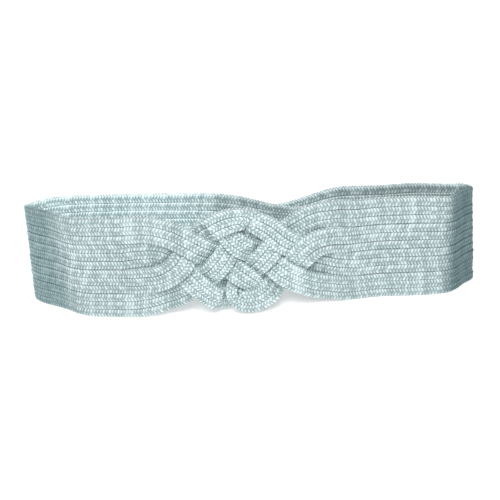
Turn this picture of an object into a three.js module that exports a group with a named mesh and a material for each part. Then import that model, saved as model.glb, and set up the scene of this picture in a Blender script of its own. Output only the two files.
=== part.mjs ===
// Belt of silver braided cord with an interlaced knot at the front, standing on its lower edge.
//
// Twelve cords make each band. They are four loops of three cords: each loop leaves the back on
// one side, runs round the side fold, turns back inside the knot and returns beside itself. The
// belt is laid out on a flat sheet first, along (distance right of the knot) and height (above the
// middle), and the sheet is then wrapped round the wall line. Millimetres, +Z up, +Y away.
import * as THREE from 'three';

// Driving dimensions
const CORD_PITCH = 6.3;
const BAND_HEIGHT = 12 * CORD_PITCH;
const MIDDLE = BAND_HEIGHT / 2;
const STRAND_WIDTH = 18.2;
const BAND_THICKNESS = 4.4;
const KNOT_THICKNESS = 3.6;
const LAYER_LIFT = 3.0;
const KNOT_STANDS_OUT = 4.0;
const KNOT_RISE = 3.3;
const RISE_WITHIN = 50;
const KNOT_REACH = 84;

// Back closure
const CLOSURE_X = 26;
const END_OVERLAP = 56;
const END_SQUEEZE = 0.69;
const SQUEEZE_FROM = 76;
const SQUEEZE_TO = 18;
const CLOSURE_LIFT = 3.2;
const CLOSURE_LIFT_FROM = 100;
const CLOSURE_LIFT_TO = 62;
const TAB_LENGTH = 13;
const TAB_WALL = 1;
const TAB_GAP = 0.35;
const HOOK_LENGTH = 16;
const HOOK_HEIGHT = 22;
const HOOK_THICKNESS = 1.3;

// Section spacing along a strand
const STEP_IN_KNOT = 5.2;
const LONGEST_STEP = 20;
const SHORTEST_STEP = 1.9;
const TURN_PER_STEP = 0.4;

const SILVER = { color: 0xb9c4c6, roughness: 0.42, metalness: 0.75 };
const TAB_GREY = { color: 0xa4b0b2, roughness: 0.6, metalness: 0.35 };
const STEEL = { color: 0xc8cccf, roughness: 0.3, metalness: 1 };

// Wall line seen from above, counter-clockwise from the middle of the knot: x, y
const WALL_ROWS = [
  [-6.7, -3.5], [30, -1.5], [66, 1], [91, 3.5], [115, 2], [135, 3], [150, 9.5], [160, 17],
  [165.5, 24], [162, 30.5], [150, 31.5], [120, 29.5], [67, 29.5], [20, 32], [-34, 37.5],
  [-94, 46], [-139, 49], [-156, 45.5], [-164.5, 36.5], [-159, 27.5], [-139, 14], [-121, 4],
  [-100, -1], [-72, -6], [-40, -5.5],
];

// Routes in the knot, one row for each bend or crossing: along, height, layer, width.
// Layer 1 passes over at the front, -1 passes under. The right loops are the same, turned half round.
const UPPER_LEFT_ROUTE = [
  [-84, 28.35, 0, 18.2], [-66, 28, 0.1, 18], [-49, 23.7, 0.6, 17.4], [-33, 14.6, 1, 17.2],
  [-15.3, 0.4, -1, 16.4], [2.4, -13.4, 1, 14.2], [8.5, -19.4, 0.3, 10.4], [10.8, -25, -1.2, 9],
  [8.4, -30.2, -1.2, 9], [3.6, -31.7, -1.2, 9.4], [-6, -30.6, -1.2, 12.2], [-12.5, -28.8, -1.15, 14.2],
  [-20.5, -24, 0.8, 15.4], [-31, -14.4, 1, 16], [-44.5, -2, -1, 16.2], [-57.5, 6, -1, 17.2],
  [-70, 9.3, -0.5, 17.8], [-84, 9.45, 0, 18.2],
];
const LOWER_LEFT_ROUTE = [
  [-84, -28.35, 0, 18.2], [-66, -28, -0.2, 18], [-49, -25.2, -1, 17.2], [-32, -17, -1, 16.8],
  [-15, -0.6, 1, 15.8], [-3.4, 12.6, -1, 14], [4.6, 19.5, -0.5, 11.4], [7, 24.9, 1.2, 10.2],
  [4.6, 30, 1.6, 10.6], [-0.8, 32, 1.6, 11.8], [-10, 30.2, 1.5, 14.4], [-17, 26.6, 1.1, 15.8],
  [-23.5, 21.4, -0.85, 16.2], [-33, 12.6, -1, 16.2], [-43.5, -1, 1, 16.2], [-56, -8, 1, 17],
  [-70, -9.5, 0.5, 17.8], [-84, -9.45, 0, 18.2],
];

// Half section of a three-cord ribbon: across (-1 to 1), half thickness (0 to 1)
const RIBBON_ROWS = [
  [-1, 0.34], [-0.667, 1], [-0.333, 0.74], [0, 1], [0.333, 0.74], [0.667, 1], [1, 0.34],
];

const mix = (a, b, t) => a + (b - a) * t;
const smooth = (low, high, value) => {
  const t = Math.min(1, Math.max(0, (value - low) / (high - low)));
  return t * t * (3 - 2 * t);
};

const wall = new THREE.CatmullRomCurve3(
  WALL_ROWS.map(([x, y]) => new THREE.Vector3(x, y, 0)), true, 'centripetal');
wall.arcLengthDivisions = 6000;
const WALL_LENGTH = wall.getLength();

// The wall's point, direction and outward normal at a distance along it
function wallFrame(along) {
  const turns = along / WALL_LENGTH;
  const share = turns - Math.floor(turns);
  const tangent = wall.getTangentAt(share);
  return { point: wall.getPointAt(share), tangent, outward: new THREE.Vector3(tangent.y, -tangent.x, 0) };
}

function wallBend(along) {
  const reach = 1.5;
  const turned = wallFrame(along - reach).tangent.angleTo(wallFrame(along + reach).tangent);
  return turned / (2 * reach);
}

// A point of the flat sheet, wrapped round the wall line
function onWall(along, height, lift) {
  const frame = wallFrame(along);
  return frame.point.clone().addScaledVector(frame.outward, lift).setZ(MIDDLE + height);
}

// Distance along the right-hand back at which the closure's middle lies
function closureAlong() {
  let low = WALL_LENGTH * 0.3;
  let high = WALL_LENGTH * 0.6;
  while (high - low > 1e-3) {
    const middle = (low + high) / 2;
    if (wallFrame(middle).point.x > CLOSURE_X) low = middle; else high = middle;
  }
  return low;
}
const CLOSURE = closureAlong();
const RIGHT_TIP = CLOSURE + END_OVERLAP / 2;
const LEFT_TIP = WALL_LENGTH - CLOSURE + END_OVERLAP / 2;

// The knot stands out in front of the bands, and sits a little above their middle
const standsOut = (along) => KNOT_STANDS_OUT * (1 - smooth(30, KNOT_REACH, Math.abs(along)));
const rises = (along) => KNOT_RISE * (1 - smooth(RISE_WITHIN, KNOT_REACH, Math.abs(along)));
const thicknessAt = (along) => mix(KNOT_THICKNESS, BAND_THICKNESS, smooth(50, KNOT_REACH, Math.abs(along)));

// Sections of a strand between the back end and the knot, on one side (-1 left, 1 right)
function bandSections(side, slot) {
  const tip = side < 0 ? LEFT_TIP : RIGHT_TIP;
  const sections = [];
  let distance = tip;
  while (distance > KNOT_REACH + SHORTEST_STEP) {
    const toTip = tip - distance;
    const squeeze = mix(END_SQUEEZE, 1, smooth(SQUEEZE_TO, SQUEEZE_FROM, toTip));
    const lift = side * CLOSURE_LIFT * (1 - smooth(CLOSURE_LIFT_TO, CLOSURE_LIFT_FROM, toTip));
    sections.push({
      along: side * distance, height: slot * squeeze, lift,
      width: STRAND_WIDTH * squeeze, thickness: BAND_THICKNESS,
    });
    const bend = Math.max(wallBend(side * distance), wallBend(side * (distance - 6)));
    distance -= Math.min(LONGEST_STEP, Math.max(SHORTEST_STEP, TURN_PER_STEP / Math.max(bend, 1e-3)));
  }
  return sections;
}

// Sections of a loop inside the knot; side 1 turns the left route half round
function knotSections(rows, side) {
  const line = new THREE.CatmullRomCurve3(
    rows.map(([along, height]) => new THREE.Vector3(along, height, 0)), false, 'centripetal');
  const sections = [];
  for (let row = 0; row < rows.length - 1; row += 1) {
    const [start, end] = [rows[row], rows[row + 1]];
    const length = Math.hypot(end[0] - start[0], end[1] - start[1]);
    const steps = Math.max(2, Math.round(length / STEP_IN_KNOT));
    for (let step = 0; step < steps; step += 1) {
      const share = step / steps;
      const point = line.getPoint((row + share) / (rows.length - 1));
      const layer = mix(start[2], end[2], smooth(0.25, 0.75, share));
      sections.push({
        along: -side * point.x, height: rises(point.x) - side * point.y,
        lift: standsOut(point.x) + layer * LAYER_LIFT,
        width: mix(start[3], end[3], smooth(0, 1, share)), thickness: thicknessAt(point.x),
      });
    }
  }
  const last = rows[rows.length - 1];
  sections.push({
    along: -side * last[0], height: -side * last[1], lift: standsOut(last[0]),
    width: last[3], thickness: BAND_THICKNESS,
  });
  return sections;
}

// Closed skin over a row of equal rings of points, with flat ends
function skinOver(rings) {
  const size = rings[0].length;
  const positions = rings.flat().flatMap((point) => [point.x, point.y, point.z]);
  const faces = [];
  for (let ring = 0; ring < rings.length - 1; ring += 1) {
    for (let k = 0; k < size; k += 1) {
      const next = (k + 1) % size;
      const [a, b] = [ring * size + k, ring * size + next];
      faces.push(a, b + size, b, a, a + size, b + size);
    }
  }
  const half = size / 2;
  const lastRing = (rings.length - 1) * size;
  for (let k = 0; k < half - 1; k += 1) {
    const [top, topNext, low, lowNext] = [k, k + 1, size - 1 - k, size - 2 - k];
    faces.push(top, lowNext, low, top, topNext, lowNext);
    faces.push(lastRing + top, lastRing + low, lastRing + lowNext);
    faces.push(lastRing + top, lastRing + lowNext, lastRing + topNext);
  }
  const geometry = new THREE.BufferGeometry();
  geometry.setAttribute('position', new THREE.Float32BufferAttribute(positions, 3));
  geometry.setIndex(faces);
  geometry.computeVertexNormals();
  return geometry;
}

// A ribbon of three cords, swept through its sections
function ribbon(sections) {
  const rings = sections.map((section, index) => {
    const before = sections[Math.max(0, index - 1)];
    const after = sections[Math.min(sections.length - 1, index + 1)];
    const run = new THREE.Vector2(after.along - before.along, after.height - before.height).normalize();
    const place = ([across, share], face) => onWall(
      section.along - run.y * across * section.width / 2,
      section.height + run.x * across * section.width / 2,
      section.lift + face * share * section.thickness / 2);
    const outer = RIBBON_ROWS.map((row) => place(row, 1));
    const inner = RIBBON_ROWS.map((row) => place(row, -1)).reverse();
    return [...outer, ...inner];
  });
  return skinOver(rings);
}

function loop(side, rows, firstSlot, secondSlot) {
  const out = bandSections(side, firstSlot);
  const back = bandSections(side, secondSlot).reverse();
  return ribbon([...out, ...knotSections(rows, side), ...back]);
}

function piece(name, geometry, finish) {
  const mesh = new THREE.Mesh(geometry, new THREE.MeshStandardMaterial(finish));
  mesh.name = name;
  return mesh;
}

// A flat outline (along, lift) extruded upwards and set on the wall at a distance along it
function standOnWall(mesh, along, lift, bottom) {
  const frame = wallFrame(along);
  mesh.position.copy(frame.point).addScaledVector(frame.outward, lift).setZ(bottom);
  mesh.rotation.z = Math.atan2(frame.tangent.y, frame.tangent.x);
}

// Folded tab round the cords' ends: open towards the belt, closed past the tip
function endTab(name, side) {
  const inner = BAND_THICKNESS / 2 + TAB_GAP;
  const outer = inner + TAB_WALL;
  const stop = TAB_GAP;
  const profile = [
    [-TAB_LENGTH, -outer], [stop + TAB_WALL, -outer], [stop + TAB_WALL, outer], [-TAB_LENGTH, outer],
    [-TAB_LENGTH, inner], [stop, inner], [stop, -inner], [-TAB_LENGTH, -inner],
  ];
  const shape = new THREE.Shape(profile.map(([x, y]) => new THREE.Vector2(side * x, y)));
  const height = 2 * (MIDDLE * END_SQUEEZE + 1.2);
  const mesh = piece(name, new THREE.ExtrudeGeometry(shape, { depth: height, bevelEnabled: false }), TAB_GREY);
  const tip = side < 0 ? LEFT_TIP : RIGHT_TIP;
  standOnWall(mesh, side * tip, side * CLOSURE_LIFT, MIDDLE - height / 2);
  return mesh;
}

// Flat hook between the two overlapping ends
function hiddenHook() {
  const shape = new THREE.Shape();
  const [x, y] = [HOOK_LENGTH / 2, HOOK_THICKNESS / 2];
  shape.moveTo(-x, -y).lineTo(x, -y).lineTo(x, y).lineTo(-x, y).closePath();
  const geometry = new THREE.ExtrudeGeometry(shape, { depth: HOOK_HEIGHT, bevelEnabled: false });
  const mesh = piece('hidden_hook', geometry, STEEL);
  standOnWall(mesh, CLOSURE, 0, MIDDLE - HOOK_HEIGHT / 2);
  return mesh;
}

const belt = new THREE.Group();
belt.add(
  piece('left_upper_loop', loop(-1, UPPER_LEFT_ROUTE, 4.5 * CORD_PITCH, 1.5 * CORD_PITCH), SILVER),
  piece('left_lower_loop', loop(-1, LOWER_LEFT_ROUTE, -4.5 * CORD_PITCH, -1.5 * CORD_PITCH), SILVER),
  piece('right_upper_loop', loop(1, LOWER_LEFT_ROUTE, 4.5 * CORD_PITCH, 1.5 * CORD_PITCH), SILVER),
  piece('right_lower_loop', loop(1, UPPER_LEFT_ROUTE, -4.5 * CORD_PITCH, -1.5 * CORD_PITCH), SILVER),
  endTab('left_end_tab', -1),
  endTab('right_end_tab', 1),
  hiddenHook(),
);

// The origin is the middle of the bounding box's bottom
const bounds = new THREE.Box3().setFromObject(belt, true);
const centre = bounds.getCenter(new THREE.Vector3());
belt.position.set(-centre.x, -centre.y, -bounds.min.z);

const model = new THREE.Group();
model.add(belt);
export default model;
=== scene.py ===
"""Wide belt of silver braided cord with an interlaced front knot, standing on its lower edge.

Twelve round cords lie side by side in each band. They are four loops of three cords, and each loop
turns back inside the knot. The cords are laid out on a flat sheet (distance right of the knot,
height above the middle, lift off the wall) and the sheet is wrapped round the belt's wall line.
Route tables are in millimetres; every mesh is in metres in the frame of the CAD model.
"""
import logging
import math
from dataclasses import dataclass, field
from enum import Enum

import bpy
import numpy as np
from mathutils import Euler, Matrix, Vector


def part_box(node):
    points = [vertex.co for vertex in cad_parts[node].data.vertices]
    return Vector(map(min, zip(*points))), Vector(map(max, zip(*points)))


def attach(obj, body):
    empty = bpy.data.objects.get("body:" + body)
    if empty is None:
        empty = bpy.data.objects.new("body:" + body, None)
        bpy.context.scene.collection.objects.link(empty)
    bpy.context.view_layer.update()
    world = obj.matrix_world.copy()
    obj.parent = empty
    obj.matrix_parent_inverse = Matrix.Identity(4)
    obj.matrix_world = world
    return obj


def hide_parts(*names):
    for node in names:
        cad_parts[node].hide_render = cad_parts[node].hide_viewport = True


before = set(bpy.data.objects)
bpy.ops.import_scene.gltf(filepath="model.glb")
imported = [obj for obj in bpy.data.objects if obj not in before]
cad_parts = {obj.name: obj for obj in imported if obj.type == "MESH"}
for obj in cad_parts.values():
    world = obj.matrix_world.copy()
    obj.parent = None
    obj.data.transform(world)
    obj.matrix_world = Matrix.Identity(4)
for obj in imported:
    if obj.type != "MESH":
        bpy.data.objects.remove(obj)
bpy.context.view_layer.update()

LOG = logging.getLogger("belt")
MM = 0.001
BLUR_REACH = 4
TINY = 1e-12
TOUCHING = 1e-6
BORDER_SLACK = 1e-9
Array = np.ndarray
Socket = bpy.types.NodeSocket
Colour = tuple[float, float, float]
Span = tuple[float, float]


class Side(Enum):
    """The side of the belt that a loop belongs to."""

    LEFT = -1
    RIGHT = 1


class LampKind(Enum):
    """The kinds of lamp in the studio."""

    AREA = "AREA"
    SUN = "SUN"


def smooth(low: float, high: float, value: Array) -> Array:
    """Smooth step from 0 at low to 1 at high.

    Args:
        low: where the step begins.
        high: where the step ends.
        value: the places to work it out at.

    Returns:
        3t^2 - 2t^3 of the clamped share t.
    """
    share = np.clip((np.asarray(value, float) - low) / (high - low), 0, 1)
    return share * share * (3 - 2 * share)


def blur(values: Array, spread: float) -> Array:
    """Gaussian blur of samples along a line, with the ends held.

    Args:
        values: samples, one row each.
        spread: standard deviation in samples.

    Returns:
        The blurred samples, of the same shape.
    """
    reach = int(BLUR_REACH * spread) + 1
    weights = np.exp(-0.5 * (np.arange(-reach, reach + 1) / spread) ** 2)
    weights /= weights.sum()
    flat = values.reshape(len(values), -1)
    padded = np.pad(flat, ((reach, reach), (0, 0)), mode="edge")
    columns = [np.convolve(padded[:, k], weights, "valid") for k in range(flat.shape[1])]
    return np.stack(columns, 1).reshape(values.shape)


def unit(vectors: Array) -> Array:
    """Vectors of length one, row by row."""
    return vectors / np.maximum(np.linalg.norm(vectors, axis=-1, keepdims=True), TINY)


def running_length(points: Array) -> Array:
    """Length along a line of points, from 0 at the first one."""
    return np.concatenate([[0], np.cumsum(np.linalg.norm(np.diff(points, axis=0), axis=1))])


def through_rows(rows: Array, closed: bool, per_gap: int) -> tuple[Array, Array]:
    """Centripetal Catmull-Rom curve through the rows' first two columns.

    Each gap is the cubic whose end slopes come from the neighbouring points, with knots spaced by
    the square root of the chord.

    Args:
        rows: points, one row each.
        closed: whether the last row joins the first.
        per_gap: samples in each gap.

    Returns:
        The sampled points, and the row number of each sample as a real number.
    """
    points = np.asarray(rows, float)[:, :2]
    count = len(points)
    if closed:
        start = np.arange(count)
        around = [points[(start + k) % count] for k in (-1, 0, 1, 2)]
    else:
        start = np.arange(count - 1)
        longer = np.vstack([2 * points[0] - points[1], points, 2 * points[-1] - points[-2]])
        around = [longer[start + k] for k in (0, 1, 2, 3)]
    p0, p1, p2, p3 = around
    d0, d1, d2 = (np.sum((b - a) ** 2, 1)[:, None] ** 0.25 for a, b in ((p0, p1), (p1, p2), (p2, p3)))
    slope1 = ((p1 - p0) / d0 - (p2 - p0) / (d0 + d1) + (p2 - p1) / d1) * d1
    slope2 = ((p2 - p1) / d1 - (p3 - p1) / (d1 + d2) + (p3 - p2) / d2) * d1
    share = np.linspace(0, 1, per_gap, endpoint=False)[None, :, None]
    square = -3 * p1 + 3 * p2 - 2 * slope1 - slope2
    cube = 2 * p1 - 2 * p2 + slope1 + slope2
    curve = (p1[:, None] + slope1[:, None] * share + square[:, None] * share**2
             + cube[:, None] * share**3).reshape(-1, 2)
    numbers = (start[:, None] + share[0, :, 0][None]).ravel()
    if not closed:
        curve = np.vstack([curve, points[-1:]])
        numbers = np.append(numbers, count - 1.0)
    return curve, numbers


def grid_mesh(name: str, points: Array, along: Array, around: Array) -> bpy.types.Object:
    """Closed tube over a grid of rings, with a UV map and flat ends.

    Each quad joins two neighbouring points of a ring to the same two of the next one. The faces are
    turned round if the volume that they enclose comes out negative.

    Args:
        name: the new object's name.
        points: ring points in metres, shape (rings, points in a ring, 3).
        along: U of each ring.
        around: V of each ring point, with one more value for the closing point.

    Returns:
        The new object, its faces pointing out.
    """
    rings, size = points.shape[:2]
    ring = np.arange(rings - 1)[:, None]
    spot = np.arange(size)[None, :]
    following = (spot + 1) % size
    corners = np.stack(np.broadcast_arrays(
        ring * size + spot, ring * size + following, (ring + 1) * size + following,
        (ring + 1) * size + spot), -1).reshape(-1, 4)
    u_map = np.stack(np.broadcast_arrays(
        along[ring], along[ring], along[ring + 1], along[ring + 1]), -1)
    u_map = np.broadcast_to(u_map, (rings - 1, size, 4)).reshape(-1, 4)
    v_map = np.stack(np.broadcast_arrays(
        around[spot], around[spot + 1], around[spot + 1], around[spot]), -1)
    v_map = np.broadcast_to(v_map, (rings - 1, size, 4)).reshape(-1, 4)
    flat = points.reshape(-1, 3)
    a, b, c, d = (flat[corners[:, k]] for k in range(4))
    volume = sum(np.einsum("ij,ij->i", a, np.cross(p, q)).sum() for p, q in ((b, c), (c, d)))
    first, last = np.arange(size)[::-1], (rings - 1) * size + np.arange(size)
    if volume < 0:
        corners, u_map, v_map = corners[:, ::-1], u_map[:, ::-1], v_map[:, ::-1]
        first, last = first[::-1], last[::-1]
    loops = np.concatenate([corners.ravel(), first, last]).astype(np.int32)
    starts = np.concatenate([np.arange(len(corners)) * 4, [len(corners) * 4, len(corners) * 4 + size]])
    totals = np.concatenate([np.full(len(corners), 4), [size, size]])
    cap_uv = np.stack([np.repeat([along[0], along[-1]], size), np.tile(around[:size], 2)], 1)
    uv = np.concatenate([np.stack([u_map.ravel(), v_map.ravel()], 1), cap_uv])
    mesh = bpy.data.meshes.new(name)
    mesh.vertices.add(len(flat))
    mesh.vertices.foreach_set("co", flat.astype(np.float32).ravel())
    mesh.loops.add(len(loops))
    mesh.loops.foreach_set("vertex_index", loops)
    mesh.polygons.add(len(starts))
    mesh.polygons.foreach_set("loop_start", starts.astype(np.int32))
    mesh.polygons.foreach_set("loop_total", totals.astype(np.int32))
    mesh.polygons.foreach_set("use_smooth", np.ones(len(starts), bool))
    mesh.uv_layers.new(name="UVMap").data.foreach_set("uv", uv.astype(np.float32).ravel())
    mesh.update(calc_edges=True)
    mesh.validate()
    made = bpy.data.objects.new(name, mesh)
    bpy.context.scene.collection.objects.link(made)
    return made


class Nodes:
    """Short way to write a material's node tree."""

    def __init__(self, name: str) -> None:
        """Makes a material with a principled shader and an output.

        Args:
            name: the material's name.
        """
        self.material = bpy.data.materials.new(name)
        self.material.use_nodes = True
        self.tree = self.material.node_tree
        self.shader = self.tree.nodes["Principled BSDF"]

    def add(self, kind: str, **settings: object) -> bpy.types.Node:
        """Adds a node.

        Args:
            kind: the node's type.
            **settings: values of its properties, or of its inputs as in_0, in_1 and so on.

        Returns:
            The new node.
        """
        node = self.tree.nodes.new(kind)
        for key, value in settings.items():
            if key.startswith("in_"):
                self.feed(node.inputs[int(key[3:])], value)
            else:
                setattr(node, key, value)
        return node

    def feed(self, socket: Socket, value: object) -> None:
        """Links a socket to the socket, or sets its value.

        Args:
            socket: an input.
            value: an output to link, or a constant.
        """
        if isinstance(value, Socket):
            self.tree.links.new(value, socket)
        else:
            socket.default_value = value

    def math(self, operation: str, *values: object) -> Socket:
        """Math node.

        Args:
            operation: the node's operation.
            *values: one, two or three outputs or constants.

        Returns:
            The result.
        """
        node = self.add("ShaderNodeMath", operation=operation)
        for socket, value in zip(node.inputs, values):
            self.feed(socket, value)
        return node.outputs[0]

    def ramp(self, factor: Socket, stops: list[tuple[float, Colour]]) -> Socket:
        """Colour ramp.

        Args:
            factor: place on the ramp, from 0 to 1.
            stops: (place, colour) of each stop, in rising order.

        Returns:
            The colour.
        """
        node = self.add("ShaderNodeValToRGB")
        self.feed(node.inputs[0], factor)
        while len(node.color_ramp.elements) < len(stops):
            node.color_ramp.elements.new(0.5)
        for element, (place, colour) in zip(node.color_ramp.elements, stops):
            element.position = place
            element.color = (*colour, 1)
        return node.outputs[0]

    def noise(self, vector: Socket, scale: float, detail: float = 2) -> Socket:
        """Noise.

        Args:
            vector: the place.
            scale: cells in each unit of length.
            detail: octaves above the first.

        Returns:
            The noise, from 0 to 1.
        """
        node = self.add("ShaderNodeTexNoise")
        self.feed(node.inputs["Vector"], vector)
        node.inputs["Scale"].default_value = scale
        node.inputs["Detail"].default_value = detail
        return node.outputs["Fac"]

    def smooth(self, value: Socket, low: float, high: float, first: float, last: float) -> Socket:
        """Smooth step between two places.

        Args:
            value: the value.
            low: where the step begins.
            high: where the step ends.
            first: the result before the step.
            last: the result after the step.

        Returns:
            The result.
        """
        node = self.add("ShaderNodeMapRange", interpolation_type="SMOOTHSTEP")
        for number, part in enumerate((value, low, high, first, last)):
            self.feed(node.inputs[number], part)
        return node.outputs[0]

    def mix(self, factor: object, first: object, second: object) -> Socket:
        """Mix of two colours.

        Args:
            factor: share of the second colour.
            first: the first colour.
            second: the second colour.

        Returns:
            The colour.
        """
        node = self.add("ShaderNodeMix", data_type="RGBA", blend_type="MIX")
        self.feed(node.inputs[0], factor)
        self.feed(node.inputs[6], first)
        self.feed(node.inputs[7], second)
        return node.outputs[2]

    def bump(self, height: object, strength: float, distance: float) -> Socket:
        """Bump.

        Args:
            height: the height.
            strength: how far the normal is turned.
            distance: what a height of 1 stands for, in metres.

        Returns:
            The normal.
        """
        node = self.add("ShaderNodeBump")
        node.inputs["Strength"].default_value = strength
        node.inputs["Distance"].default_value = distance
        self.feed(node.inputs["Height"], height)
        return node.outputs[0]


@dataclass(frozen=True)
class BraidPattern:
    """Stitches of a braided cord, the same for the mesh's relief and for the material.

    The columns lie side by side round the cord and lean by turns to the left and to the right.
    Along a column the relief is a raised cosine to the hump power, and across it falls off towards
    the edges, by the edge fall and the edge power.
    """

    columns: int = 6
    slant: float = 0.56
    hump_power: float = 1.25
    edge_fall: float = 0.85
    edge_power: float = 1.8


@dataclass(frozen=True)
class SilverCordFinish:
    """Braided metallic yarn: bright oval stitches, painted lighter on their crests, with painted shade in
    the dark cool gaps between them.

    The braid is worked out from the piece's UV map, U in stitches along the cord and V once
    round it, with the same pattern as the relief of the mesh. The spans of x and y in metres say
    where shade is painted on the yarn, on the two folds, and where light is painted on it, on the
    knot and along the back wall.
    """

    braid: BraidPattern = BraidPattern()
    # Painted light and shade of the stitch relief: crest is painted light on the stitches' tops, flank and
    # gap are painted shade down their sides and between them.
    crest: Colour = (0.73, 0.81, 0.815)
    flank: Colour = (0.47, 0.565, 0.575)
    gap: Colour = (0.25, 0.33, 0.34)
    flank_stop: float = 0.34
    crest_stop: float = 0.82
    stitch_noise: float = 0.5
    drift_noise: float = 0.3
    drift_scale: float = 60.0
    metallic: float = 0.3
    smoothest: float = 0.35
    rough_span: float = 0.25
    filaments: float = 5.0
    filament_height: float = 0.12
    bump_strength: float = 0.9
    bump_depth: float = 0.00035
    # Painted shade on the two folds, painted light on the back wall and on the knot:
    left_fold_painted_shade: Colour = (0.5, 0.6, 0.61)
    left_fold_x: Span = (-0.147, -0.122)
    left_fold_y: Span = (0.012, 0.024)
    right_fold_painted_shade: Colour = (0.26, 0.36, 0.375)
    right_fold_x: Span = (0.131, 0.147)
    right_fold_y: Span = (0.005, 0.012)
    back_painted_light: float = 1.75
    back_y: Span = (0.008, 0.022)
    knot_painted_light: float = 1.08
    knot_x: Span = (0.03, 0.05)

    def build(self, name: str) -> bpy.types.Material:
        """Makes the material.

        Args:
            name: the material's name.

        Returns:
            The material.
        """
        n = Nodes(name)
        coords = n.add("ShaderNodeTexCoord")
        split = n.add("ShaderNodeSeparateXYZ", in_0=coords.outputs["UV"])
        column = n.math("MULTIPLY", split.outputs[1], float(self.braid.columns))
        number = n.math("FLOOR", column)
        across = n.math("SUBTRACT", n.math("FRACT", column), 0.5)
        odd = n.math("MODULO", number, 2.0)
        sign = n.math("SUBTRACT", n.math("MULTIPLY", odd, 2.0), 1.0)
        tilt = n.math("MULTIPLY", n.math("MULTIPLY", across, sign), self.braid.slant)
        phase = n.math("ADD", n.math("ADD", split.outputs[0], tilt), n.math("MULTIPLY", odd, 0.5))
        relief = self.relief(n, phase, across)
        cell = n.add("ShaderNodeCombineXYZ")
        n.feed(cell.inputs[0], n.math("FLOOR", n.math("ADD", phase, 0.5)))
        n.feed(cell.inputs[1], number)
        white = n.add("ShaderNodeTexWhiteNoise", noise_dimensions="3D")
        n.feed(white.inputs["Vector"], cell.outputs[0])
        drift = n.noise(coords.outputs["Object"], self.drift_scale)
        tone = relief
        for noise, share in ((white.outputs[0], self.stitch_noise), (drift, self.drift_noise)):
            tone = n.math("ADD", tone, n.math("MULTIPLY", n.math("SUBTRACT", noise, 0.5), share))
        # Painted light and shade: the ramp darkens the yarn from crest to gap as the stitch relief falls.
        stops = [(0.0, self.gap), (self.flank_stop, self.flank), (self.crest_stop, self.crest)]
        colour = n.ramp(tone, stops)
        # Painted light and shade by place, multiplied into the yarn's colour.
        painted_shading = self.painted_light_and_shade(n, coords.outputs["Object"])
        shaded = n.add("ShaderNodeVectorMath", operation="MULTIPLY", in_0=colour, in_1=painted_shading)
        n.feed(n.shader.inputs["Base Color"], shaded.outputs[0])
        n.shader.inputs["Metallic"].default_value = self.metallic
        glint = n.math("MULTIPLY_ADD", white.outputs[0], self.rough_span, self.smoothest)
        n.feed(n.shader.inputs["Roughness"], glint)
        threads = n.math("COSINE", n.math("MULTIPLY", phase, 2 * math.pi * self.filaments))
        height = n.math("ADD", relief, n.math("MULTIPLY", threads, self.filament_height))
        n.feed(n.shader.inputs["Normal"], n.bump(height, self.bump_strength, self.bump_depth))
        return n.material

    def relief(self, n: Nodes, phase: Socket, across: Socket) -> Socket:
        """Relief of the stitches, from 0 to 1.

        Args:
            n: the material being built.
            phase: phase along the leaning stitches, 1 for each stitch.
            across: place across the column, from -1/2 to 1/2.

        Returns:
            The relief.
        """
        wave = n.math("COSINE", n.math("MULTIPLY", phase, 2 * math.pi))
        hump = n.math("POWER", n.math("MULTIPLY_ADD", wave, 0.5, 0.5), self.braid.hump_power)
        far = n.math("ABSOLUTE", n.math("MULTIPLY", across, 2.0))
        fall = n.math("MULTIPLY", n.math("POWER", far, self.braid.edge_power), self.braid.edge_fall)
        return n.math("MULTIPLY", hump, n.math("SUBTRACT", 1.0, fall))

    def painted_light_and_shade(self, n: Nodes, place: Socket) -> Socket:
        """Painted light and shade by place: painted shade on the two folds, painted light on the knot and
        along the back wall.

        Args:
            n: the material being built.
            place: its Object coordinates.

        Returns:
            The colour by which the yarn's colour is multiplied.
        """
        split = n.add("ShaderNodeSeparateXYZ", in_0=place)
        x, y = split.outputs[0], split.outputs[1]
        # Painted shade on the fold faces, fading out towards the back wall.
        left_end = n.smooth(x, *self.left_fold_x, 1, 0)
        left_front = n.smooth(y, *self.left_fold_y, 1, 0)
        right_end = n.smooth(x, *self.right_fold_x, 0, 1)
        right_front = n.smooth(y, *self.right_fold_y, 1, 0)
        tone = n.mix(n.math("MULTIPLY", left_end, left_front), (1, 1, 1, 1), (*self.left_fold_painted_shade, 1))
        tone = n.mix(n.math("MULTIPLY", right_end, right_front), tone, (*self.right_fold_painted_shade, 1))
        # Painted light on the back wall's inner face and on the knot.
        back = n.smooth(y, *self.back_y, 1.0, self.back_painted_light)
        knot = n.smooth(n.math("ABSOLUTE", x), *self.knot_x, self.knot_painted_light, 1.0)
        painted_light_gain = n.add("ShaderNodeVectorMath", operation="SCALE", in_0=tone)
        n.feed(painted_light_gain.inputs["Scale"], n.math("MAXIMUM", back, knot))
        return painted_light_gain.outputs[0]


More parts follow.
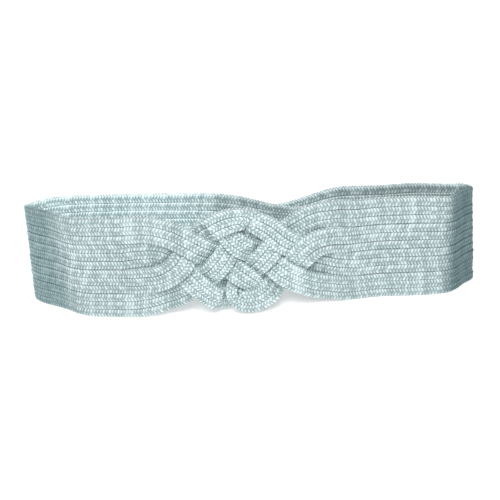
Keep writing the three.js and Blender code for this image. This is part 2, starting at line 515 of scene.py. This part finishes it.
@dataclass(frozen=True)
class TapeFinish:
    """Silver-grey tape of an end tab: a fine plain weave, sewn with rows of stitches."""

    colour: Colour = (0.66, 0.74, 0.745)
    shade: Colour = (0.4, 0.46, 0.47)
    shade_stop: float = 0.15
    colour_stop: float = 0.85
    sewing: Colour = (0.2, 0.25, 0.26)
    thread: float = 0.0009
    stitch: float = 0.0034
    stitch_level: float = -0.35
    seam_width: float = 0.0009
    weave_share: float = 0.7
    drift_share: float = 0.4
    drift_scale: float = 140.0
    metallic: float = 0.3
    smoothest: float = 0.45
    rough_span: float = 0.2
    bump_strength: float = 0.6
    bump_depth: float = 0.0002

    def seam(self, n: Nodes, split: bpy.types.Node, seams: Span) -> Socket:
        """Mask of the stitches.

        Args:
            n: the material being built.
            split: the node with x, y and z of the Object coordinates.
            seams: x of each row of stitches, in metres.

        Returns:
            1 on a stitch and 0 elsewhere.
        """
        wave = n.math("SINE", n.math("MULTIPLY", split.outputs[2], 2 * math.pi / self.stitch))
        rows = 0.0
        for place in seams:
            away = n.math("ABSOLUTE", n.math("SUBTRACT", split.outputs[0], place))
            rows = n.math("ADD", rows, n.math("LESS_THAN", away, self.seam_width / 2))
        return n.math("MULTIPLY", rows, n.math("GREATER_THAN", wave, self.stitch_level))

    def build(self, name: str, seams: Span) -> bpy.types.Material:
        """Makes the material; the weave is a product of two waves in Object coordinates.

        Args:
            name: the material's name.
            seams: x of each row of stitches, in metres.

        Returns:
            The material.
        """
        n = Nodes(name)
        coords = n.add("ShaderNodeTexCoord")
        split = n.add("ShaderNodeSeparateXYZ", in_0=coords.outputs["Object"])
        turn = math.pi / self.thread
        rows = n.math("SINE", n.math("MULTIPLY", split.outputs[2], turn))
        ribs = n.math("SINE", n.math("MULTIPLY", split.outputs[0], turn))
        weave = n.math("MULTIPLY_ADD", n.math("MULTIPLY", rows, ribs), 0.5, 0.5)
        drift = n.noise(coords.outputs["Object"], self.drift_scale)
        woven = n.math("MULTIPLY", weave, self.weave_share)
        tone = n.math("ADD", woven, n.math("MULTIPLY", drift, self.drift_share))
        tape = n.ramp(tone, [(self.shade_stop, self.shade), (self.colour_stop, self.colour)])
        sewn = self.seam(n, split, seams)
        n.feed(n.shader.inputs["Base Color"], n.mix(sewn, tape, (*self.sewing, 1)))
        n.shader.inputs["Metallic"].default_value = self.metallic
        rough = n.math("MULTIPLY_ADD", drift, self.rough_span, self.smoothest)
        n.feed(n.shader.inputs["Roughness"], rough)
        height = n.math("SUBTRACT", weave, sewn)
        n.feed(n.shader.inputs["Normal"], n.bump(height, self.bump_strength, self.bump_depth))
        return n.material


@dataclass(frozen=True)
class HookFinish:
    """Plain pressed steel with a fine brushed grain."""

    colour: Colour = (0.7, 0.72, 0.73)
    dull_share: float = 0.8
    dull_stop: float = 0.3
    colour_stop: float = 0.7
    stretch: tuple[float, float, float] = (2, 2, 60)
    grain_scale: float = 90.0
    grain_detail: float = 4
    smoothest: float = 0.25
    rough_span: float = 0.2
    bump_strength: float = 0.15
    bump_depth: float = 0.0001

    def build(self, name: str) -> bpy.types.Material:
        """Makes the material; the grain is noise stretched along the plate's width.

        Args:
            name: the material's name.

        Returns:
            The material.
        """
        n = Nodes(name)
        coords = n.add("ShaderNodeTexCoord")
        stretch = n.add("ShaderNodeMapping")
        n.feed(stretch.inputs["Vector"], coords.outputs["Object"])
        stretch.inputs["Scale"].default_value = self.stretch
        grain = n.noise(stretch.outputs[0], self.grain_scale, self.grain_detail)
        dull = tuple(self.dull_share * c for c in self.colour)
        steel = n.ramp(grain, [(self.dull_stop, dull), (self.colour_stop, self.colour)])
        n.feed(n.shader.inputs["Base Color"], steel)
        n.shader.inputs["Metallic"].default_value = 1.0
        rough = n.math("MULTIPLY_ADD", grain, self.rough_span, self.smoothest)
        n.feed(n.shader.inputs["Roughness"], rough)
        n.feed(n.shader.inputs["Normal"], n.bump(grain, self.bump_strength, self.bump_depth))
        return n.material


@dataclass(frozen=True)
class FloorFinish:
    """Plain white studio sheet that glows a little, so that it stays white far from the lamps."""

    colour: Colour = (0.7, 0.7, 0.7)
    light_share: float = 1.02
    drift_scale: float = 3.0
    roughness: float = 0.9
    glow: float = 0.4

    def build(self, name: str) -> bpy.types.Material:
        """Makes the material, with a hardly visible drift of tone.

        Args:
            name: the material's name.

        Returns:
            The material.
        """
        n = Nodes(name)
        coords = n.add("ShaderNodeTexCoord")
        drift = n.noise(coords.outputs["Object"], self.drift_scale)
        light = tuple(self.light_share * c for c in self.colour)
        n.feed(n.shader.inputs["Base Color"], n.ramp(drift, [(0, self.colour), (1, light)]))
        n.shader.inputs["Roughness"].default_value = self.roughness
        n.shader.inputs["Emission Color"].default_value = (1, 1, 1, 1)
        n.shader.inputs["Emission Strength"].default_value = self.glow
        return n.material


@dataclass
class WallLine:
    """The belt's wall seen from above: a closed line through the rows, counter-clockwise.

    Rows are x and y in millimetres, from the middle of the knot to the right. The round cords
    bulge below the flat ribbons' edges, so the whole wall sits higher by the seat. At the two folds
    the wall leans inwards towards its upper edge, and at the right one that edge also drops; both
    grow with x over a zone. The ends overlap where the back wall passes closure_x, which is looked
    for after the front share of the line.
    """

    rows: tuple = (
        (-6.7, -3.5), (30, -1.5), (66, 1), (91, 3.5), (115, 2), (131, 1.8), (140.5, 3.2), (147, 7),
        (155, 14.5), (165, 23.3), (163, 30.5), (150, 31.5), (120, 29.5), (67, 29.5), (20, 32),
        (-34, 37.5), (-94, 46), (-139, 49), (-157, 45), (-166, 36), (-160, 28), (-150, 21.5),
        (-141, 16), (-134, 11), (-127, 5.5), (-116, 0.5), (-100, -2), (-72, -6), (-40, -5.5))
    middle: float = 38.2
    closure_x: float = 26
    front_share: float = 0.3
    seat: float = 0.65
    lean: float = 6.2
    lean_zone: Span = (118, 162)
    drop: float = 3.2
    drop_zone: Span = (112, 158)
    height: float = 76
    per_gap: int = 300
    shift: Array = field(default_factory=lambda: np.zeros(3))

    def __post_init__(self) -> None:
        """Samples the line and its outward normals by length."""
        curve, _ = through_rows(self.rows, True, self.per_gap)
        curve = np.vstack([curve, curve[:1]])
        self.lengths = running_length(curve)
        self.length = float(self.lengths[-1])
        self.curve = curve
        way = np.gradient(curve[:-1], axis=0)
        way[0] = curve[1] - curve[-2]
        way[-1] = curve[-1] - curve[-3]
        way = unit(way)
        normal = np.stack([way[:, 1], -way[:, 0]], 1)
        self.normals = np.vstack([normal, normal[:1]])
        past_front = self.lengths > self.front_share * self.length
        self.closure = float(self.lengths[(curve[:, 0] < self.closure_x) & past_front][0])

    def wrap(self, along: Array, height: Array, lift: Array) -> tuple[Array, Array]:
        """Points of the flat sheet, wrapped round the wall.

        In plan a point is the wall line at the distance along it, plus the lift times the outward
        normal there; its height is the wall's middle plus the height. The lean and the drop are
        then taken off in proportion to the share of the height.

        Args:
            along: distance right of the knot.
            height: height above the middle.
            lift: distance outside the wall line.

        Returns:
            The points in millimetres in the frame, and the outward normals there.
        """
        place = np.mod(along, self.length)
        base = [np.interp(place, self.lengths, self.curve[:, k]) for k in (0, 1)]
        out = unit(np.stack([np.interp(place, self.lengths, self.normals[:, k]) for k in (0, 1)], -1))
        share = np.clip(height / self.height + 0.5, 0, 1)
        lean = self.lean * share * smooth(*self.lean_zone, np.abs(base[0])) * np.sign(base[0])
        drop = self.drop * share * smooth(*self.drop_zone, base[0])
        points = np.stack([base[0] - lean + out[..., 0] * lift, base[1] + out[..., 1] * lift,
                           self.middle + height - drop + 0 * place], -1) + self.shift
        return points, np.concatenate([out, 0 * out[..., :1]], -1)


@dataclass
class LoopRoute:
    """Route of a three-cord strand: band, knot, and back beside itself.

    Knot rows are along, height, layer and width; layer 1 passes over and -1 under. The right loops
    are the left ones turned half round about the middle of the knot. Towards the back end the band
    is squeezed together and moved off the wall line, the left one inside and the right one outside,
    each over a zone of distances from that end. Towards the middle of the knot the strand stands
    out and rises.
    """

    knot: tuple
    side: Side
    slots: Span
    wall: WallLine
    reach: float = 84
    strand: float = 18.6
    overlap: float = 56
    squeeze: float = 0.69
    squeeze_zone: Span = (18, 76)
    closure_lift: float = 3.2
    closure_zone: Span = (62, 100)
    band_step: float = 0.5
    lift: float = 3.0
    layer_change: Span = (0.2, 0.8)
    stands_out: float = 4.0
    stands_out_to: float = 30
    rise: float = 3.3
    rise_to: float = 50
    per_gap: int = 40
    step: float = 0.4
    softness: float = 3.5

    @property
    def tip(self) -> float:
        """Distance from the knot to the strand's end at the back.

        Returns:
            The distance round the wall, in millimetres.
        """
        closure = self.wall.closure
        way = closure if self.side is Side.RIGHT else self.wall.length - closure
        return way + self.overlap / 2

    def band(self, slot: float) -> Array:
        """Samples of a band from the back end to the knot.

        Args:
            slot: height of the band's middle above the wall's middle.

        Returns:
            Along, height, lift and width, one row for each sample.
        """
        place = np.arange(self.tip, self.reach, -self.band_step)
        to_tip = self.tip - place
        squeeze = self.squeeze + (1 - self.squeeze) * smooth(*self.squeeze_zone, to_tip)
        lift = self.side.value * self.closure_lift * (1 - smooth(*self.closure_zone, to_tip))
        return np.stack([self.side.value * place, slot * squeeze, lift, self.strand * squeeze], 1)

    def knot_part(self) -> Array:
        """Samples of the loop inside the knot.

        The plan is a curve through the rows, the width eases from row to row, and the lift goes
        from one row's layer to the next one's in a smooth step.

        Returns:
            Along, height, lift and width, one row for each sample.
        """
        rows = np.asarray(self.knot, float)
        points, numbers = through_rows(rows, False, self.per_gap)
        first = np.clip(numbers.astype(int), 0, len(rows) - 2)
        share = numbers - first
        change = rows[first + 1] - rows[first]
        layer = rows[first, 2] + change[:, 2] * smooth(*self.layer_change, share)
        width = rows[first, 3] + change[:, 3] * smooth(0, 1, share)
        away = np.abs(points[:, 0])
        proud = self.stands_out * (1 - smooth(self.stands_out_to, self.reach, away))
        rise = self.rise * (1 - smooth(self.rise_to, self.reach, away))
        sign = -self.side.value
        height = rise + sign * points[:, 1]
        return np.stack([sign * points[:, 0], height, proud + layer * self.lift, width], 1)

    def samples(self) -> Array:
        """Samples of the whole loop, at even steps.

        Returns:
            Along, height, lift and width, one row for each sample.
        """
        whole = np.vstack([self.band(self.slots[0]), self.knot_part(), self.band(self.slots[1])[::-1]])
        gaps = np.linalg.norm(np.diff(whole[:, :3], axis=0), axis=1)
        whole = whole[np.concatenate([[True], gaps > TOUCHING])]
        lengths = running_length(whole[:, :3])
        even = np.linspace(0, lengths[-1], int(lengths[-1] / self.step))
        spaced = np.stack([np.interp(even, lengths, whole[:, k]) for k in range(4)], 1)
        return blur(spaced, self.softness)

    def centreline(self, place: int) -> tuple[Array, Array, Array]:
        """Centreline of one of the loop's cords: the strand's, moved aside by thirds of its width.

        Args:
            place: -1, 0 or 1 across the strand.

        Returns:
            Points in millimetres, outward normals, and the cord's half width at each point.
        """
        rows = self.samples()
        run = unit(np.gradient(rows[:, :2], axis=0))
        offset = place * rows[:, 3] / 3
        along, height = rows[:, 0] - run[:, 1] * offset, rows[:, 1] + run[:, 0] * offset
        points, out = self.wall.wrap(along, height, rows[:, 2])
        return points, out, rows[:, 3] / 6


@dataclass
class BraidedCord:
    """One round braided cord, swept along a centreline with its stitches as relief.

    The section is a rounded square: half the strand's share of width across, and the thickness out
    of the wall. Both grow by depth * (ridge - 1/2), where ridge is the relief of the braid. A cord
    squeezed narrower than its free half width also gives way in thickness. The cord wanders a
    little, out of the wall, sideways and in the place of its stitches.
    """

    name: str
    points: Array
    out: Array
    half_width: Array
    seed: int
    braid: BraidPattern = BraidPattern()
    stitch: float = 2.22
    step: float = 0.5
    thickness: float = 2.45
    give: float = 0.4
    free_half: float = 3.1
    broaden: float = 1.07
    depth: float = 0.18
    side_depth: float = 0.6
    square: float = 0.5
    softness: float = 1.2
    wander_blur: float = 22
    wander_size: float = 0.16
    wander_aside: float = 0.6
    wander_stitches: float = 1.6

    def ring_angles(self) -> Array:
        """Angles round the section, from degrees, closer together on the two broad faces."""
        face = np.arange(30, 151, 15)
        return np.radians(np.concatenate([face, [170, 190], face + 180, [350, 370]]))

    def ridge(self, stitches: Array, angles: Array) -> Array:
        """Relief of the braid.

        Args:
            stitches: stitch count along the cord, shape (rings, 1).
            angles: angles round the section in radians, shape (1, ring points).

        Returns:
            The relief from 0 to 1, shape (rings, ring points).
        """
        column = np.mod((angles - math.pi / 2) / (2 * math.pi), 1) * self.braid.columns
        number = np.floor(column + BORDER_SLACK)
        across = column - number - 0.5
        odd = np.mod(number, 2)
        phase = stitches + across * (2 * odd - 1) * self.braid.slant + 0.5 * odd
        hump = np.clip(0.5 + 0.5 * np.cos(2 * math.pi * phase), 0, 1) ** self.braid.hump_power
        return hump * (1 - self.braid.edge_fall * np.abs(2 * across) ** self.braid.edge_power)

    def build(self) -> bpy.types.Object:
        """Sweeps the section along the centreline.

        A point at the angle t is the centreline plus c(t) * wide sideways and s(t) * thick out of
        the wall, where c and s are the cosine and sine of t, each raised to the power square with
        its sign kept.

        Returns:
            The cord's object, with its UV map.
        """
        generator = np.random.default_rng(self.seed)
        lengths = running_length(self.points)
        count = int(lengths[-1] / self.step)
        even = np.linspace(0, lengths[-1], count)

        def spread(values: Array) -> Array:
            """Values at the even places along the cord."""
            return np.stack([np.interp(even, lengths, values[:, k]) for k in range(values.shape[1])], 1)

        wander = blur(generator.standard_normal((count, 3)), self.wander_blur)
        wander *= self.wander_size / wander.std()
        points = blur(spread(self.points), self.softness)
        half = spread(self.half_width[:, None])[:, 0]
        way = unit(np.gradient(points, axis=0))
        out = spread(self.out)
        out = unit(out - way * np.sum(out * way, 1, keepdims=True))
        side = np.cross(way, out)
        points = points + out * wander[:, :1] + side * wander[:, 1:2] * self.wander_aside
        angles = self.ring_angles()
        stitches = even / self.stitch + generator.random() + wander[:, 2] * self.wander_stitches
        ridge = self.ridge(stitches[:, None], angles[None, :])
        swell = 1 + self.depth * (ridge - 0.5)
        wide = half[:, None] * (self.broaden + self.side_depth * self.depth * (ridge - 0.5))
        pressed = 1 - self.give + self.give * half[:, None] / self.free_half
        thick = self.thickness * pressed * swell
        across, up = (np.sign(f(angles)) * np.abs(f(angles)) ** self.square for f in (np.cos, np.sin))
        rings = (points[:, None] + side[:, None] * (across[None] * wide)[..., None]
                 + out[:, None] * (up[None] * thick)[..., None])
        around = np.append(angles, angles[0] + 2 * math.pi)
        turns = (around - math.pi / 2) / (2 * math.pi) + 1
        return grid_mesh(self.name, rings * MM, stitches, turns)


UPPER_LEFT_ROUTE = (
    (-84, 28.35, 0, 18.6), (-66, 28, 0.1, 18.6), (-49, 23.9, 0.6, 18.4), (-33, 14.8, 1, 18.2),
    (-15.3, 0.6, -1, 17.4), (2.4, -13.2, 1, 16.2), (8.5, -19.4, 0.3, 14), (10.8, -25, -1.2, 10),
    (8.4, -29.8, -1.2, 9), (3.6, -31, -1.2, 10), (-6, -30.2, -1.2, 13), (-12.5, -28.6, -1.15, 15),
    (-20.5, -24.6, 0.8, 16.4), (-30.4, -15.4, 1, 16.6), (-43.5, -2, -1, 17.6), (-50, 4, -1, 18.2),
    (-57.5, 7.2, -1, 18.4), (-70, 9.3, -0.5, 18.6), (-84, 9.45, 0, 18.6))
LOWER_LEFT_ROUTE = (
    (-84, -28.35, 0, 18.6), (-66, -28, -0.2, 18.6), (-49, -25.2, -1, 18.6), (-32, -17, -1, 17),
    (-15, -0.6, 1, 16.4), (-3.4, 12.6, -1, 15), (4.6, 19.5, -0.5, 13), (7, 25.4, 1.2, 13),
    (4.2, 30, 1.6, 14.4), (-0.8, 31.2, 1.6, 15.6), (-10, 29.6, 1.5, 17), (-17, 26.4, 1.1, 17),
    (-23.5, 21.4, -0.85, 17), (-33, 12.6, -1, 17), (-43.5, -1.4, 1, 18.4), (-56, -8.6, 1, 18.6),
    (-70, -9.5, 0.5, 18.6), (-84, -9.45, 0, 18.6))
# Rows in which one side of the photographed knot differs from the shared tables, by row number
LEFT_TURN_ROWS = {11: (-12.5, -29.8, -1.15, 15), 12: (-20.6, -26.2, 0.8, 16.4), 13: (-30, -16.8, 1, 16.6)}
LEFT_ARC_ROWS = {6: (5.6, 19, -0.7, 14), 7: (8, 25, -0.6, 13.4), 8: (4.8, 29.9, 1, 14.4)}
RIGHT_TURN_ROWS = {
    9: (3.6, -30.4, -1.2, 10), 10: (-6, -29.4, -0.5, 13.4), 11: (-12.6, -26.6, 1.2, 15.4),
    12: (-20.2, -21.2, 1, 16.8), 13: (-28.8, -12.8, 1, 17.2)}
RIGHT_RISE_ROWS = {
    2: (-49, -24.2, -1, 18.6), 3: (-32, -16, -1, 17), 7: (6.4, 24.8, 1.2, 12.4),
    8: (1.8, 29.2, 1.6, 14.8), 9: (-3.4, 30.4, 1.6, 17), 14: (-43.2, -1.8, 1, 19.6)}
UPPER_SLOTS = (28.35, 9.45)
LOWER_SLOTS = (-28.35, -9.45)


def with_rows(rows: tuple, changes: dict[int, tuple]) -> tuple:
    """A route table with some of its rows changed, by row number."""
    return tuple(changes.get(number, row) for number, row in enumerate(rows))


@dataclass
class CordLoops:
    """The four loops of three braided cords."""

    wall: WallLine
    finish: SilverCordFinish = field(default_factory=SilverCordFinish)
    slot: str = "silver_cord"

    def routes(self) -> dict[str, LoopRoute]:
        """The routes of the four loops.

        Returns:
            The route that each CAD node's cords follow, by node name.
        """
        left_turn = with_rows(UPPER_LEFT_ROUTE, LEFT_TURN_ROWS)
        left_arc = with_rows(LOWER_LEFT_ROUTE, LEFT_ARC_ROWS)
        right_turn = with_rows(UPPER_LEFT_ROUTE, RIGHT_TURN_ROWS)
        right_rise = with_rows(LOWER_LEFT_ROUTE, RIGHT_RISE_ROWS)
        return {
            "left_upper_loop": LoopRoute(left_turn, Side.LEFT, UPPER_SLOTS, self.wall),
            "left_lower_loop": LoopRoute(left_arc, Side.LEFT, LOWER_SLOTS, self.wall),
            "right_upper_loop": LoopRoute(right_rise, Side.RIGHT, UPPER_SLOTS, self.wall),
            "right_lower_loop": LoopRoute(right_turn, Side.RIGHT, LOWER_SLOTS, self.wall),
        }

    def build(self) -> None:
        """Makes the twelve cords and stands them in for the CAD ribbons."""
        material = self.finish.build("silver_braided_cord")
        for loop_number, (node, route) in enumerate(self.routes().items()):
            for place in (-1, 0, 1):
                points, out, half = route.centreline(place)
                cord_number = place + 2
                name = node.replace("loop", "cord") + f"_{cord_number}"
                seed = 10 * loop_number + cord_number
                cord = BraidedCord(name, points, out, half, seed).build()
                cord.data.materials.append(material)
                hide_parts(node)
                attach(cord, "root")
                LOG.info("%s: %d faces", name, len(cord.data.polygons))


@dataclass
class ClosurePieces:
    """The end tabs and the hook, as the CAD model has them.

    Each tab is sewn with a row of stitches near both of its upright edges.
    """

    tabs: tuple = ("left_end_tab", "right_end_tab")
    hook: str = "hidden_hook"
    seam_in: float = 0.002

    def build(self) -> None:
        """Gives the closure's CAD pieces their finishes."""
        steel = HookFinish().build("pressed_steel")
        for node in self.tabs:
            low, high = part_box(node)
            tape = TapeFinish().build(f"woven_tape_{node}", (low[0] + self.seam_in, high[0] - self.seam_in))
            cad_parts[node].material_slots[0].material = tape
            LOG.info("%s: woven tape", node)
        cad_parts[self.hook].material_slots[0].material = steel
        LOG.info("%s: pressed steel", self.hook)


@dataclass(frozen=True)
class Lamp:
    """A lamp aimed at the belt.

    The power is a sun's strength or an area lamp's watts, the place is in metres, and the spread is
    a sun's angle in radians or an area lamp's side in metres.
    """

    name: str
    kind: LampKind
    power: float
    place: tuple[float, float, float]
    spread: float


@dataclass
class Studio:
    """Floor, soft lights and camera, as in the photograph."""

    wall: WallLine
    lens: float = 46.8
    sensor: float = 36
    clip_start: float = 0.01
    camera_height: float = 229
    camera_distance: float = 414
    pitch: float = 24
    roll: float = 3.57
    surround: float = 0.38
    surround_tint: Colour = (0.94, 0.98, 1)
    lamps: tuple[Lamp, ...] = (
        Lamp("front", LampKind.AREA, 1.4, (-0.05, -0.5, 0.42), 0.25),
        Lamp("high", LampKind.SUN, 2.0, (-0.1, -0.8, 1.0), 0.5),
        Lamp("back", LampKind.SUN, 0.8, (0.3, 0.8, 0.7), 0.6))
    aim: tuple[float, float, float] = (0, 0, 0.04)
    floor_half: float = 14.0

    def camera(self) -> None:
        """Places the camera: looking down by the pitch, rolled so that the right side shows higher."""
        data = bpy.data.cameras.new("camera")
        data.lens = self.lens
        data.sensor_width = self.sensor
        data.clip_start = self.clip_start
        made = bpy.data.objects.new("camera", data)
        bpy.context.scene.collection.objects.link(made)
        place = np.array([0, -self.camera_distance, self.camera_height]) + self.wall.shift
        made.location = Vector(place * MM)
        level = Euler((math.radians(90 - self.pitch), 0, 0)).to_matrix()
        turn = Euler((0, 0, math.radians(-self.roll))).to_matrix()
        made.rotation_euler = (level @ turn).to_euler()
        bpy.context.scene.camera = made

    def light(self, lamp: Lamp) -> None:
        """Adds one lamp.

        Args:
            lamp: the lamp.
        """
        data = bpy.data.lights.new(lamp.name, lamp.kind.value)
        data.energy = lamp.power
        if lamp.kind is LampKind.SUN:
            data.angle = lamp.spread
        else:
            data.size = lamp.spread
        made = bpy.data.objects.new(lamp.name, data)
        made.location = lamp.place
        way = Vector(self.aim) - Vector(lamp.place)
        made.rotation_euler = way.to_track_quat("-Z", "Y").to_euler()
        bpy.context.scene.collection.objects.link(made)

    def lights(self) -> None:
        """A pale surround and the lamps: one beside the camera, a high sun and one from behind."""
        world = bpy.data.worlds.new("studio")
        world.use_nodes = True
        world.node_tree.nodes["Background"].inputs[0].default_value = (*self.surround_tint, 1)
        world.node_tree.nodes["Background"].inputs[1].default_value = self.surround
        bpy.context.scene.world = world
        for lamp in self.lamps:
            self.light(lamp)
        bpy.context.scene.view_settings.view_transform = "Standard"

    def floor(self) -> None:
        """A broad flat sheet under the belt."""
        half = self.floor_half
        mesh = bpy.data.meshes.new("floor")
        corners = [(-half, -half, 0), (half, -half, 0), (half, half, 0), (-half, half, 0)]
        mesh.from_pydata(corners, [], [(0, 1, 2, 3)])
        mesh.materials.append(FloorFinish().build("floor_sheet"))
        made = bpy.data.objects.new("floor", mesh)
        bpy.context.scene.collection.objects.link(made)

    def build(self) -> None:
        """Makes the whole studio."""
        self.camera()
        self.lights()
        self.floor()


def wall_in_frame() -> WallLine:
    """The wall line in the CAD model's frame.

    Returns:
        The wall line, shifted so that its closure meets the CAD hook's middle.
    """
    wall = WallLine()
    low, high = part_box("hidden_hook")
    hook = np.array((low + high) / 2) / MM
    here, _ = wall.wrap(np.array(wall.closure), np.array(0.0), np.array(0.0))
    wall.shift = hook - here + np.array([0, 0, wall.seat])
    return wall


def main() -> None:
    """Builds the belt and its studio."""
    logging.basicConfig(level=logging.INFO, format="%(name)s: %(message)s")
    wall = wall_in_frame()
    LOG.info("wall shift %s, length %.1f", wall.shift.round(3), wall.length)
    Studio(wall).build()
    CordLoops(wall).build()
    ClosurePieces().build()


if __name__ == "__main__":
    main()
